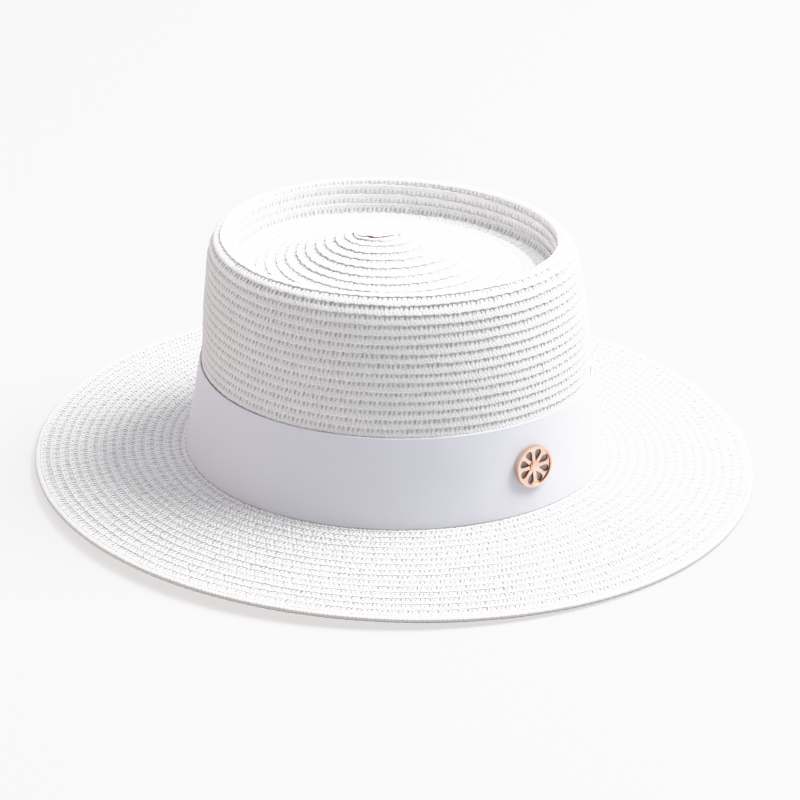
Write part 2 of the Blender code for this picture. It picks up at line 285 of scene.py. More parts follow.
def crown_skin(way, angle):
    """Points on the crown's outside; the way runs from the tip out over the rim to the foot."""
    inset = np.interp(way, CROWN_LINE[0], CROWN_LINE[1])
    height = np.interp(way, CROWN_LINE[0], CROWN_LINE[2])
    inner = np.clip((inset - floor_inset()) / floor_run(), 0.0, 1.0)
    lift = (np.maximum(height, 0.0) / CROWN_HEIGHT) ** LEAN_CURVE
    skew = CROWN_SKEW * lift * np.cos(2 * (angle - math.radians(SKEW_AT)))
    x, y = head_oval(angle, np.minimum(inset, floor_inset()) - skew)
    x = x * (1 - inner) + TIP_OFF_X * inner + CROWN_LEAN * lift
    y = y * (1 - inner) + TIP_OFF_Y * inner
    return np.stack([x, y, height + CROWN_FOOT], axis=-1)


def brim_height(share, angle):
    """Height of the brim's upper face over the table."""
    root = EDGE_THICK + SADDLE + BRIM_DROP
    share = np.clip(share, 0.0, 1.0)
    wave = SADDLE * np.cos(2 * (angle - math.radians(SADDLE_AT)))
    return root - BRIM_DROP * share ** DROP_CURVE + wave * share ** WARP_CURVE


def brim_skin(out, angle):
    """Points on the brim's upper face, at a distance out from the crown's foot."""
    x, y = head_oval(angle, 0.0)
    normal_x, normal_y = oval_normal(angle)
    height = brim_height(out / BRIM_WIDTH, angle)
    return np.stack([x + normal_x * out, y + normal_y * out, height], axis=-1)


def skin_normal(skin, way, angle):
    """Outward unit normal of a skin."""
    step = 2e-4
    along = skin(way, angle + step) - skin(way, angle - step)
    outward = skin(way + step, angle) - skin(way - step, angle)
    normal = np.cross(outward, along)
    return normal / np.maximum(np.linalg.norm(normal, axis=-1, keepdims=True), 1e-12)


# Braid


def wander(place, seed):
    """Smooth irregularity between -1 and 1, one knot for each whole number."""
    knots = np.random.default_rng(seed).uniform(-1.0, 1.0, 4096)
    low = np.floor(place).astype(int)
    share = smooth_share(place - low)
    return knots[low % 4096] * (1 - share) + knots[(low + 1) % 4096] * share


def stray(kind, place, seed):
    return kind.size * wander(place / kind.reach, seed)


def hollow(distance, width):
    return np.exp(-(distance / width) ** 2)


def face_relief(part, place, seed):
    """Stitch holes under the lap and shallow dents between the strands."""
    near = place - np.round(place)
    strength = HOLE_MEAN + stray(HOLE_STRAY, np.round(place), seed)
    holes = HOLE_DEEP * strength * hollow(near, HOLE_LONG) * hollow(part - HOLE_AT, HOLE_TALL)
    half = place - DENT_AT - np.round(place - DENT_AT)
    dents = DENT_DEEP * hollow(half, DENT_LONG) * hollow(part - HOLE_AT, HOLE_TALL)
    return -holes - dents


def braid_points(skin, way_of, turn, place, rows, seed, relief, depth=1.0):
    """A grid of points: one line of them across the braid for each column."""
    part = np.array([row.part for row in rows])[None, :]
    raised = np.array([row.raised for row in rows])[None, :] * depth
    place = place[:, None]
    edge = smooth_share(np.clip((part - EDGE_FROM) / (1 - EDGE_FROM), 0.0, 1.0))
    uneven = stray(LAP_LONG, place, seed + 1) + stray(LAP_SHORT, place, seed + 3)
    shift = edge * (SCALLOP * np.cos(2 * math.pi * place) + uneven)
    raised = raised + stray(FACE_STRAY, place, seed + 2)
    if relief:
        raised = raised + face_relief(part, place, seed) * depth
    angle = 2 * math.pi * turn[:, None]
    way = way_of(turn[:, None], part + shift)
    angle = np.broadcast_to(angle, way.shape)
    return skin(way, angle) + skin_normal(skin, way, angle) * raised[..., None]


def band_mesh(face, back, place, around=0):
    """A closed band from its face and its back, with the braid's own coordinates as UV.

    A band that meets its own start has its number of stitches as around.
    """
    parts = np.array([row.part for row in FACE_ROWS] + [row.part for row in BACK_ROWS])
    ring = np.concatenate([face, back], axis=1)
    columns, across = ring.shape[:2]
    index = np.arange(columns * across).reshape(columns, across)
    following = np.roll(index, -1, axis=0)
    step = np.roll(place, -1) - place
    if around:
        step[-1] = around - (place[-1] - place[0])
    else:
        index, following, step = index[:-1], following[:-1], step[:-1]
    beside, beside_next = np.roll(index, -1, axis=1), np.roll(following, -1, axis=1)
    quads = np.stack([index, beside, beside_next, following], axis=-1).reshape(-1, 4)
    here = np.broadcast_to(place[:len(step), None], (len(step), across))
    there = here + step[:, None]
    v_here = np.broadcast_to(parts[None, :], here.shape)
    v_next = np.broadcast_to(np.roll(parts, -1)[None, :], here.shape)
    uv = np.stack([here, v_here, here, v_next, there, v_next, there, v_here], axis=-1).reshape(-1, 2)
    faces = quads.tolist()
    points = ring.reshape(-1, 3)
    if not around:
        faces.append(list(range(across)))
        faces.append(list(range((columns - 1) * across, columns * across))[::-1])
        ends = [[place[0], part] for part in parts]
        ends += [[place[-1], part] for part in parts[::-1]]
        uv = np.concatenate([uv, ends])
    return points, faces, uv


def add_piece(name, points, faces, uv, finish, layer="braid"):
    """A mesh object from arrays, smooth-shaded, with its normals pointing out."""
    mesh = bpy.data.meshes.new(name)
    mesh.from_pydata(points.tolist(), [], faces)
    mesh.uv_layers.new(name=layer)
    mesh.uv_layers[layer].data.foreach_set("uv", np.asarray(uv, np.float32).ravel())
    mesh.materials.append(finish)
    mesh.shade_smooth()
    mesh.validate()
    piece = bpy.data.objects.new(name, mesh)
    bpy.context.scene.collection.objects.link(piece)
    return piece


def crown_way(turn, part):
    """Way from the tip of a share of the braid's width on a turn of the crown's spiral."""
    row = turn - SPIRAL_PHASE + part
    over = np.maximum(row - TIP_TURNS, 0.0)
    way = np.maximum(TIP_PITCH * np.minimum(row, TIP_TURNS) + SIDE_PITCH * over, 0.0)
    stretch = np.cos(2 * math.pi * turn) ** 2 * np.exp(-way / TIP_SPREAD)
    return way + TIP_OVAL * (stretch * np.minimum(way / TIP_PITCH, 1.0))


def crown_columns(phases):
    """Turn and plait count of each column along the whole spiral, closer together at its start."""
    turn = np.arange(SPIRAL_START, CROWN_TURNS + 0.001, 1 / TURN_STEPS) + SPIRAL_PHASE
    middle = crown_skin(np.maximum(crown_way(turn, 0.5), TIP_PITCH / 3), 2 * math.pi * turn)
    run = np.r_[0.0, np.cumsum(np.linalg.norm(np.diff(middle, axis=0), axis=1))]
    count = int(run[-1] / STITCH)
    place = (np.arange(count)[:, None] + np.array(phases)[None, :]).ravel()
    closer = np.arange(0.0, FIRST_STITCHES, FIRST_STEP).round(3)
    place = np.unique(np.r_[closer, place])
    return np.interp(place * STITCH, run, turn), place


def crown_band(name, first, last, phases, finish, seed=11):
    """One stretch of the crown's spiral, from one turn to another."""
    turn, place = crown_columns(phases)
    first, last = first + SPIRAL_PHASE, last + SPIRAL_PHASE
    low, high = np.searchsorted(turn, first), min(np.searchsorted(turn, last), len(turn) - 1)
    turn, place = turn[low:high + 1], place[low:high + 1]
    face = braid_points(crown_skin, crown_way, turn, place, FACE_ROWS, seed, relief=True)
    back = braid_points(crown_skin, crown_way, turn, place, BACK_ROWS, seed, relief=False)
    points, faces, uv = band_mesh(face, back, place)
    return add_piece(name, points, faces, uv, finish)


def braid_start(finish):
    """The braid's folded beginning, laid over the middle of the tip."""
    ways = [spot.way for spot in START_FOLD]
    angles = [math.radians(spot.angle) for spot in START_FOLD]
    level = np.stack([ways * np.cos(angles), ways * np.sin(angles)], axis=1)
    run = np.r_[0.0, np.cumsum(np.hypot(*np.diff(level, axis=0).T))]
    along = np.linspace(0.0, run[-1], START_COLUMNS)
    ease = np.hanning(START_EASE) / np.hanning(START_EASE).sum()
    half = START_EASE // 2
    line = np.stack([np.interp(along, run, column) for column in level.T], axis=1)
    eased = [np.convolve(column, ease, "valid") for column in line.T]
    line[half:-half] = np.stack(eased, axis=1)
    faded = np.sin(math.pi * along / run[-1]) ** 0.5
    sides = []
    for rows, thick in ((FACE_ROWS, 0.0), (BACK_ROWS, START_THICK)):
        part = np.array([row.part for row in rows])[None, :]
        x = line[:, :1] + 0 * part
        y = line[:, 1:] + TIP_PITCH * (1.0 - part)
        way, angle = np.hypot(x, y), np.arctan2(y, x)
        raised = faded[:, None] * (START_SLOPE * part - START_SINK)
        raised = raised - START_FADE * (1 - faded[:, None]) - thick
        normal = skin_normal(crown_skin, way, angle)
        sides.append(crown_skin(way, angle) + normal * raised[..., None])
    points, faces, uv = band_mesh(sides[0], sides[1], along / STITCH)
    return add_piece("braid_start", points, faces, uv, finish)


def thread_knot(finish):
    """The coloured thread that holds the braid's beginning."""
    deselect()
    bpy.ops.mesh.primitive_uv_sphere_add(segments=24, ring_count=12, radius=1.0)
    knot = bpy.context.active_object
    knot.name = "thread_knot"
    way, angle = np.array([KNOT_AT.way]), np.array([math.radians(KNOT_AT.angle)])
    normal = Vector(skin_normal(crown_skin, way, angle)[0])
    place = Vector(crown_skin(way, angle)[0]) + normal * KNOT_LIFT
    turned = Matrix.Rotation(math.radians(KNOT_TURN), 4, "Z")
    knot.data.transform(Matrix.Translation(place) @ turned @ Matrix.Diagonal((*KNOT_SIZE, 1.0)))
    bpy.ops.object.shade_smooth()
    knot.data.materials.append(finish)
    return knot


def brim_band(name, rows, phases, finish, seed=23):
    """Some closed rows of the brim as one mesh."""
    pitch = (BRIM_WIDTH - EDGE_WIDTH + EDGE_LAP - BRIM_START) / BRIM_ROWS
    all_points, all_faces, all_uv, start = [], [], [], 0
    for row in rows:
        turn = np.arange(0.0, 1.0 + 1e-9, 1 / ROW_STEPS)
        middle = brim_skin(BRIM_START + pitch * (row + 0.5), 2 * math.pi * turn)
        run = np.r_[0.0, np.cumsum(np.linalg.norm(np.diff(middle, axis=0), axis=1))]
        count = round(run[-1] / STITCH)
        place = (np.arange(count)[:, None] + np.array(phases)[None, :]).ravel()
        turn = np.interp(place / count * run[-1], run, turn)
        shifted = place + ROW_SHIFT * row

        def way_of(turn, part, row=row):
            return BRIM_START + pitch * (row + part) + 0 * turn

        turn = turn + ROW_LEAD * row
        face = braid_points(brim_skin, way_of, turn, shifted, FACE_ROWS, seed, True, BRIM_DEPTH)
        back = braid_points(brim_skin, way_of, turn, shifted, BACK_ROWS, seed, False, BRIM_DEPTH)
        points, faces, uv = band_mesh(face, back, shifted, count)
        all_points.append(points)
        all_faces += [[corner + start for corner in corners] for corners in faces]
        all_uv.append(uv)
        start += len(points)
    points, uv = np.concatenate(all_points), np.concatenate(all_uv)
    return add_piece(name, points, all_faces, uv, finish)


def edge_roll(finish):
    """The folded outer edge of the brim: a flattened tube all the way round."""
    around, across = EDGE_COLUMNS, EDGE_SIDES
    turn = np.arange(around) / around
    angle = 2 * math.pi * turn
    middle = BRIM_WIDTH - EDGE_WIDTH / 2
    line = brim_skin(middle, angle)
    run = np.linalg.norm(np.roll(line, -1, axis=0) - line, axis=1).sum()
    count = round(run / STITCH)
    place = turn * count
    swell = 1 + EDGE_RIPPLE * np.cos(2 * math.pi * place) + stray(EDGE_STRAY, place, 41)
    corner = 2 * math.pi * np.arange(across) / across
    level = np.sign(np.cos(corner)) * np.abs(np.cos(corner)) ** EDGE_LEVEL
    upright = np.sign(np.sin(corner)) * np.abs(np.sin(corner)) ** EDGE_UPRIGHT
    out = middle + (EDGE_WIDTH / 2) * level[None, :] * np.minimum(swell, 1.0)[:, None]
    height = brim_height(middle / BRIM_WIDTH, angle)[:, None] - EDGE_THICK / 2
    height = height + (EDGE_THICK / 2) * upright[None, :] * swell[:, None]
    points = brim_skin(out, np.broadcast_to(angle[:, None], out.shape))
    points[..., 2] = height
    index = np.arange(around * across).reshape(around, across)
    following, beside = np.roll(index, -1, axis=0), np.roll(index, -1, axis=1)
    beside_next = np.roll(beside, -1, axis=0)
    quads = np.stack([index, following, beside_next, beside], axis=-1).reshape(-1, 4)
    here = np.broadcast_to(place[:, None], index.shape)
    there = here + count / around
    v_here = np.broadcast_to(np.arange(across)[None, :] / across, index.shape)
    v_next = v_here + 1 / across
    uv = np.stack([here, v_here, there, v_here, there, v_next, here, v_next], axis=-1).reshape(-1, 2)
    return add_piece("brim_edge", points.reshape(-1, 3), quads.tolist(), uv, finish)


# Ribbon


def side_inset(height):
    side = CROWN_HEIGHT - SHOULDER_DOWN
    shares = [row.height for row in SIDE_ROWS]
    insets = [row.inset for row in SIDE_ROWS]
    return SIDE_INSET * np.interp(height / side, shares, insets)


def ribbon_top():
    """Height over the crown's foot where the ribbon's width ends, up the slanted wall."""
    high = RIBBON_LIFT + RIBBON_WIDTH
    for _ in range(SETTLE_ROUNDS):
        rise = side_inset(high) - side_inset(RIBBON_LIFT)
        high += RIBBON_WIDTH - math.hypot(rise, high - RIBBON_LIFT)
    return high


def wall_point(angle, height, outward):
    """Points off the crown's side wall at a height over its foot."""
    lift = (height / CROWN_HEIGHT) ** LEAN_CURVE
    skew = CROWN_SKEW * lift * np.cos(2 * (angle - math.radians(SKEW_AT)))
    x, y = head_oval(angle, side_inset(height) - outward - skew)
    return np.stack([x + CROWN_LEAN * lift, y, height + CROWN_FOOT + 0 * x], axis=-1)


def ribbon(finish):
    """A close-woven band, once round and over its own start at the far side."""
    mean = (HEAD_LENGTH + HEAD_WIDTH) / 4 + STRAW
    start = math.radians(LAP_AT)
    end = start + 2 * math.pi + LAP_WIDTH / mean
    columns = int((end - start) * mean / RIBBON_STEP)
    angle = np.linspace(start, end, columns + 1)
    ramp = LAP_RAMP / mean
    rise = smooth_share(np.clip((angle - (end - LAP_WIDTH / mean) + ramp) / ramp, 0.0, 1.0))
    gap = RIBBON_GAP + rise * (RIBBON_PLY + RIBBON_GAP)
    low, high = RIBBON_LIFT - RIBBON_DROP, ribbon_top()
    share = np.r_[0.0, 0.006, 0.02, np.linspace(0.06, 0.94, 17), 0.98, 0.994, 1.0]
    length = (angle - start) * mean
    slack = stray(SLACK_LONG, length, 51) + stray(SLACK_SHORT, length, 52)
    belly = np.sin(math.pi * share)
    height = low + (high - low) * share
    edge_wave = stray(HEM_STRAY, length, 53)
    height = height[None, :] + edge_wave[:, None] * (share[None, :] ** 2)
    wave = slack[:, None] * belly[None, :] ** 0.5
    soft = np.zeros(len(share))
    soft[[0, -1]] = RIBBON_SOFT
    hug = gap[:, None] - RIBBON_HUG * share[None, :] ** 6
    turned = np.broadcast_to(angle[:, None], height.shape)
    outside = wall_point(turned, height, hug + RIBBON_PLY + wave - soft[None, :])
    inside = wall_point(turned, height, hug + wave * SLACK_BEHIND + soft[None, :])[:, ::-1]
    ring = np.concatenate([outside, inside], axis=1)
    across = ring.shape[1]
    index = np.arange(len(angle) * across).reshape(len(angle), across)
    now, after = index[:-1], index[1:]
    beside, beside_after = np.roll(now, -1, axis=1), np.roll(after, -1, axis=1)
    faces = np.stack([now, after, beside_after, beside], axis=-1).reshape(-1, 4).tolist()
    faces.append(index[0].tolist())
    faces.append(index[-1][::-1].tolist())
    v = np.r_[share, share[::-1]] * RIBBON_WIDTH
    v_next = np.roll(v, -1)
    here = np.broadcast_to(length[:-1, None], now.shape)
    there = np.broadcast_to(length[1:, None], now.shape)
    v_here, v_beside = np.broadcast_to(v, now.shape), np.broadcast_to(v_next, now.shape)
    uv = np.stack([here, v_here, there, v_here, there, v_beside, here, v_beside], axis=-1)
    ends = [[0.0, part] for part in v] + [[length[-1], part] for part in v[::-1]]
    uv = np.concatenate([uv.reshape(-1, 2), ends])
    piece = add_piece("ribbon", ring.reshape(-1, 3), faces, uv, finish, layer="cloth")
    return piece, (RIBBON_WIDTH + RIBBON_DROP, float(length[-1]))


# Badge


def badge_frame():
    """Where the badge's back lies; local z points out of the wall."""
    angle = math.radians(BADGE_AT)
    height = RIBBON_LIFT + BADGE_UP * (ribbon_top() - RIBBON_LIFT)
    out = CLEAR + RIBBON_THICK
    step = 0.001
    across = Vector(wall_point(angle + step, height, out) - wall_point(angle - step, height, out))
    upward = Vector(wall_point(angle, height + step, out) - wall_point(angle, height - step, out))
    normal = across.cross(upward).normalized()
    across = upward.cross(normal).normalized()
    turned = Matrix((across, normal.cross(across), normal)).transposed().to_4x4()
    return Matrix.Translation(Vector(wall_point(angle, height, out)) + normal * CLEAR) @ turned


def deselect():
    bpy.ops.object.select_all(action="DESELECT")


def select_faces(piece, wanted):
    """Edit mode with only the wanted faces selected."""
    bpy.ops.object.mode_set(mode="EDIT")
    bpy.ops.mesh.select_mode(type="FACE")
    bpy.ops.mesh.select_all(action="DESELECT")
    bpy.ops.object.mode_set(mode="OBJECT")
    for face in piece.data.polygons:
        face.select = wanted(face)
    bpy.ops.object.mode_set(mode="EDIT")


def faces_up(face):
    return face.normal.z > 0.9


def extrude_up(height):
    bpy.ops.mesh.extrude_region_move(TRANSFORM_OT_translate={"value": (0.0, 0.0, height)})


def petal_gap(turn):
    """One leaf-shaped cutter between two petals."""
    deselect()
    bpy.ops.mesh.primitive_cylinder_add(vertices=32, radius=1.0, depth=6 * BADGE_RIM)
    gap = bpy.context.active_object
    for corner in gap.data.vertices:
        reach = (corner.co.x + 1) / 2
        corner.co.y *= GAP_WIDE * reach ** GAP_SWELL + GAP_LEAST
        corner.co.x = GAP_FROM + reach * GAP_LONG
        corner.co.x -= GAP_BOW * corner.co.y ** 2
    gap.data.transform(Matrix.Rotation(turn, 4, "Z"))
    return gap


def badge(finish, hollow_shade):
    """A cast disc with a raised ring, a boss and eight petals, cut through between them."""
    deselect()
    bpy.ops.mesh.primitive_cylinder_add(vertices=96, radius=BADGE_RADIUS, depth=BADGE_THICK,
                                        location=(0.0, 0.0, BADGE_THICK / 2))
    piece = bpy.context.active_object
    piece.name = "badge_flower"
    bpy.ops.object.transform_apply(location=True)
    select_faces(piece, faces_up)
    bpy.ops.mesh.inset(thickness=RING_EDGE, depth=0.0)
    bpy.ops.mesh.inset(thickness=RING_WIDTH, depth=0.0)
    bpy.ops.object.mode_set(mode="OBJECT")
    rim = BADGE_RADIUS - RING_EDGE - RING_WIDTH

    def on_ring(face):
        reach = math.hypot(face.center.x, face.center.y)
        return faces_up(face) and rim < reach and len(face.vertices) == 4

    select_faces(piece, on_ring)
    extrude_up(BADGE_RIM - BADGE_THICK)
    bpy.ops.object.mode_set(mode="OBJECT")
    select_faces(piece, lambda face: faces_up(face) and len(face.vertices) > 4)
    bpy.ops.mesh.inset(thickness=BOSS_INSET, depth=0.0)
    extrude_up(BOSS_HEIGHT - BADGE_THICK)
    bpy.ops.mesh.inset(thickness=BOSS_EASE, depth=0.0)
    extrude_up(BOSS_TOP)
    bpy.ops.object.mode_set(mode="OBJECT")
    gaps = [petal_gap(2 * math.pi * (petal + 0.5) / PETALS) for petal in range(PETALS)]
    deselect()
    for gap in gaps:
        gap.select_set(True)
    bpy.context.view_layer.objects.active = gaps[0]
    bpy.ops.object.join()
    cutter = bpy.context.active_object
    deselect()
    piece.select_set(True)
    bpy.context.view_layer.objects.active = piece
    pierce = piece.modifiers.new("pierce", "BOOLEAN")
    pierce.object = cutter
    pierce.solver = "EXACT"
    bpy.ops.object.modifier_apply(modifier=pierce.name)
    bpy.data.objects.remove(cutter)
    soften = piece.modifiers.new("soften", "BEVEL")
    soften.width = BADGE_SOFT
    soften.segments = 3
    soften.limit_method = "ANGLE"
    soften.angle_limit = math.radians(40)
    bpy.ops.object.modifier_apply(modifier=soften.name)
    bpy.ops.object.shade_smooth_by_angle(angle=math.radians(50))
    piece.data.materials.clear()
    piece.data.materials.append(finish)
    piece.data.materials.append(hollow_shade)
    # Painted shade: the walls of the cut-through gaps get a darker copy of the rose gold.
    for face in piece.data.polygons:
        inside = math.hypot(face.center.x, face.center.y) < rim
        face.material_index = int(inside and abs(face.normal.z) < 0.4)
    piece.data.transform(badge_frame())
    return piece


# Materials


class Wire:
    """A socket's value; each operator on it adds one Math node."""

    def __init__(self, finish, socket):
        self.finish = finish
        self.socket = socket

    def __add__(self, other):
        return self.finish.math("ADD", self, other)

    __radd__ = __add__

    def __sub__(self, other):
        return self.finish.math("SUBTRACT", self, other)

    def __rsub__(self, other):
        return self.finish.math("SUBTRACT", other, self)

    def __mul__(self, other):
        return self.finish.math("MULTIPLY", self, other)

    __rmul__ = __mul__

    def __pow__(self, other):
        return self.finish.math("POWER", self, other)

    def __abs__(self):
        return self.finish.math("ABSOLUTE", self)


class Finish:
    """A Principled material built from expressions."""

    def __init__(self, name, **constants):
        self.material = bpy.data.materials.new(name)
        self.material.use_nodes = True
        self.tree = self.material.node_tree
        self.shader = self.tree.nodes["Principled BSDF"]
        for socket, value in constants.items():
            self.shader.inputs[socket.replace("_", " ")].default_value = value

    def node(self, kind, settings=(), values=(), output=0):
        """Adds a node: its settings first, then the values or links of its sockets."""
        made = self.tree.nodes.new(kind)
        for name, value in dict(settings).items():
            setattr(made, name, value)
        for socket, value in dict(values).items():
            self.feed(made.inputs[socket], value)
        return Wire(self, made.outputs[output])

    def feed(self, socket, value):
        if isinstance(value, Wire):
            self.tree.links.new(value.socket, socket)
        else:
            socket.default_value = value

    def math(self, operation, *values):
        return self.node("ShaderNodeMath", {"operation": operation}, enumerate(values))

    def step(self, value, low, high):
        """Smooth step of a value from 0 at low to 1 at high."""
        names = {"Value": value, "From Min": low, "From Max": high}
        return self.node("ShaderNodeMapRange", {"interpolation_type": "SMOOTHSTEP"}, names)

    def vector(self, x, y, z=0.0):
        return self.node("ShaderNodeCombineXYZ", values={"X": x, "Y": y, "Z": z})

    def noise(self, where, scale, detail=2.0, rough=0.5):
        names = {"Vector": where, "Scale": scale, "Detail": detail, "Roughness": rough}
        return self.node("ShaderNodeTexNoise", values=names)

    def blend(self, share, first, second):
        """Mix of two colours."""
        values = {0: share, 6: first, 7: second}
        return self.node("ShaderNodeMix", {"data_type": "RGBA"}, values, output=2)

    def axes(self, where):
        """The first two coordinates of a vector."""
        first = self.node("ShaderNodeSeparateXYZ", values={0: where})
        return first, Wire(self, first.socket.node.outputs[1])

    def paint(self, **links):
        for socket, value in links.items():
            self.feed(self.shader.inputs[socket.replace("_", " ")], value)

    def bump(self, height, distance, strength=1.0):
        names = {"Height": height, "Distance": distance, "Strength": strength}
        self.paint(Normal=self.node("ShaderNodeBump", values=names))


def colour(red, green, blue):
    return (red, green, blue, 1.0)


STRAW_WARM = colour(0.90, 0.88, 0.865)
STRAW_COOL = colour(0.865, 0.865, 0.875)
STRAW_EDGE_HIGHLIGHT = colour(0.96, 0.955, 0.95)
STRAW_BRIGHT = colour(0.97, 0.965, 0.96)
STRAW_SHADE = colour(0.46, 0.435, 0.425)
GAP_SHADE = colour(0.20, 0.18, 0.17)
LAP_SHADE = colour(0.28, 0.255, 0.245)
FRONT_EDGE_SHADOW = colour(0.26, 0.19, 0.16)
THREAD_TONES = (colour(0.20, 0.09, 0.055), colour(0.30, 0.15, 0.10))
EDGE_TONES = (colour(0.89, 0.875, 0.86), colour(0.86, 0.86, 0.875))
EDGE_RIB_SHADE = colour(0.50, 0.465, 0.45)
EDGE_SIDE_SHADE = colour(0.56, 0.51, 0.48)
EDGE_FOOT_SHADOW = colour(0.10, 0.07, 0.055)
RIBBON_TONES = (colour(0.69, 0.69, 0.745), colour(0.72, 0.72, 0.765))
RIBBON_PALE = colour(0.82, 0.82, 0.84)
GOLD_TONES = (colour(0.90, 0.66, 0.53), colour(0.86, 0.58, 0.45))
HOLLOW_SHADE_TONES = (colour(0.42, 0.20, 0.12), colour(0.34, 0.15, 0.09))
FLOOR_TONES = (colour(0.258, 0.267, 0.283), colour(0.272, 0.281, 0.297))
FLOOR_GLOW = colour(1.0, 0.965, 0.94)

# Two pale tones, and how strongly the painted shade in gaps, between ribs and under the lap, the
# painted highlight on the edge, the painted shadow under the front edge and the small mid-row gaps
# show
Plait = namedtuple("Plait", "warm cool gap rib lap edge under dots", defaults=(0.0, 0.0))
BRIGHT = (STRAW_BRIGHT, STRAW_BRIGHT)
# The side wall's straw is darker than the top's and the brim's: painted shade.
WALL_SHADE_TONES = (STRAW_WARM, STRAW_COOL)
PRESSED = (colour(0.985, 0.97, 0.955), colour(0.965, 0.965, 0.975))
TIP_PLAIT = Plait(*BRIGHT, gap=0.42, rib=0.28, lap=0.42, edge=0.4, dots=0.5)
START_PLAIT = Plait(*BRIGHT, gap=0.34, rib=0.22, lap=0.50, edge=0.5, under=0.9)
RECESS_PLAIT = Plait(*BRIGHT, gap=0.24, rib=0.05, lap=0.05, edge=0.6)
RIM_PLAIT = Plait(*BRIGHT, gap=0.62, rib=0.30, lap=0.20, edge=0.5, dots=0.3)
WALL_PLAIT = Plait(*WALL_SHADE_TONES, gap=0.42, rib=0.28, lap=0.06, edge=0.7)
BRIM_PLAIT = Plait(*PRESSED, gap=0.66, rib=0.72, lap=0.20, edge=0.2, dots=1.0)

# Slanted gaps between the strands: their middle along and across the braid, and their size
Slash = namedtuple("Slash", "at middle wide tall")
FIRST_SLASH = Slash(0.0, 0.27, 0.115, 0.27)
SECOND_SLASH = Slash(DENT_AT, 0.30, 0.095, 0.25)
THIRD_SLASH = Slash(0.22, 0.68, 0.10, 0.09)
SLANT = 0.16


def slash(made, along, part, gap, size):
    """Darkness of one kind of gap, which comes once in each repeat of the plait: it sinks the bump
    and paints shade into the gap.
    """
    out = part - gap.middle
    near = made.math("PINGPONG", along - gap.at + out * SLANT, 0.5)
    reach = made.math("SQRT", near ** 2.0 * gap.wide ** -2 + out ** 2.0 * gap.tall ** -2)
    return 1.0 - made.step(reach + (0.5 - size) * 1.5, 0.45, 1.2)


def braid_finish(name, plait):
    """White paper straw, plaited flat: slanted strands, gaps under the lap and a raised edge, with
    painted shade in the gaps, between the strands and under the lap, and a painted highlight on the
    edge.
    """
    made = Finish(name, Roughness=0.62, Specular_IOR_Level=0.3)
    where = made.node("ShaderNodeUVMap", {"uv_map": "braid"})
    along, part = made.axes(where)
    drift = made.noise(made.vector(along * 0.23, part * 0.6), 1.0, 2.0)
    uneven = made.noise(made.vector(along * 1.0, part * 1.3), 1.0, 3.0, 0.6)
    bent = abs(part - 0.52 + (uneven - 0.5) * 0.10)
    phase = along * 2.5 - bent * 1.3 + (uneven - 0.5) * 2.2
    strand = made.math("PINGPONG", phase, 0.5) * 2.0
    rib = 1.0 - (1.0 - strand) ** 2.0
    fibre = made.noise(made.vector(along * 15.0 - bent * 8.0, part * 3.0), 1.0, 3.0, 0.65)
    grain = made.noise(made.vector(along * 13.0, part * 13.0), 1.0, 3.0, 0.7)
    size = made.noise(made.vector(along * 1.3 + 3.1, 0.0), 1.0, 1.0)
    other = made.noise(made.vector(along * 1.1 + 40.7, 0.0), 1.0, 1.0)
    first = slash(made, along, part, FIRST_SLASH, size)
    second = slash(made, along, part, SECOND_SLASH, other)
    third = slash(made, along, part, THIRD_SLASH, size)
    pair = made.math("MAXIMUM", first, second * 0.85)
    hole = made.math("MAXIMUM", pair, third * plait.dots)
    lap = 1.0 - made.step(part, 0.02, 0.09)
    edge = made.step(part, 0.84, 0.92)
    height = rib * 0.55 + fibre * 0.45 + grain * 0.35 - hole * 1.0 - lap * 0.4 + edge * 0.3
    made.bump(height, 0.00034, 1.0)
    pale = made.blend(drift, plait.warm, plait.cool)
    between = made.blend((1.0 - rib) * plait.rib + (0.62 - grain) * 0.5, pale, STRAW_SHADE)
    # Painted shade: the gaps between the strands are darkened as if in shadow.
    gaps = made.blend(hole * plait.gap, between, GAP_SHADE)
    # Painted shade: the strip just under the lap of the row above is darkened.
    shaded = made.blend(lap * plait.lap, gaps, LAP_SHADE)
    # Painted highlight: the raised lapped edge of each row is lightened all along.
    bright = made.blend(edge * plait.edge, shaded, STRAW_EDGE_HIGHLIGHT)
    # Painted shadow: a dark band along the front edge of the braid's start, where it would shade the
    # rows below.
    under = made.step(part, 0.965, 0.995) * plait.under
    made.paint(Base_Color=made.blend(under, bright, FRONT_EDGE_SHADOW), Roughness=0.50 + fibre * 0.25)
    return made.material


def thread_finish():
    made = Finish("brown_thread", Roughness=0.7)
    where = made.node("ShaderNodeTexCoord", output=3)
    twist = made.noise(where, 2500.0, 2.0, 0.5)
    made.paint(Base_Color=made.blend(twist, *THREAD_TONES))
    return made.material


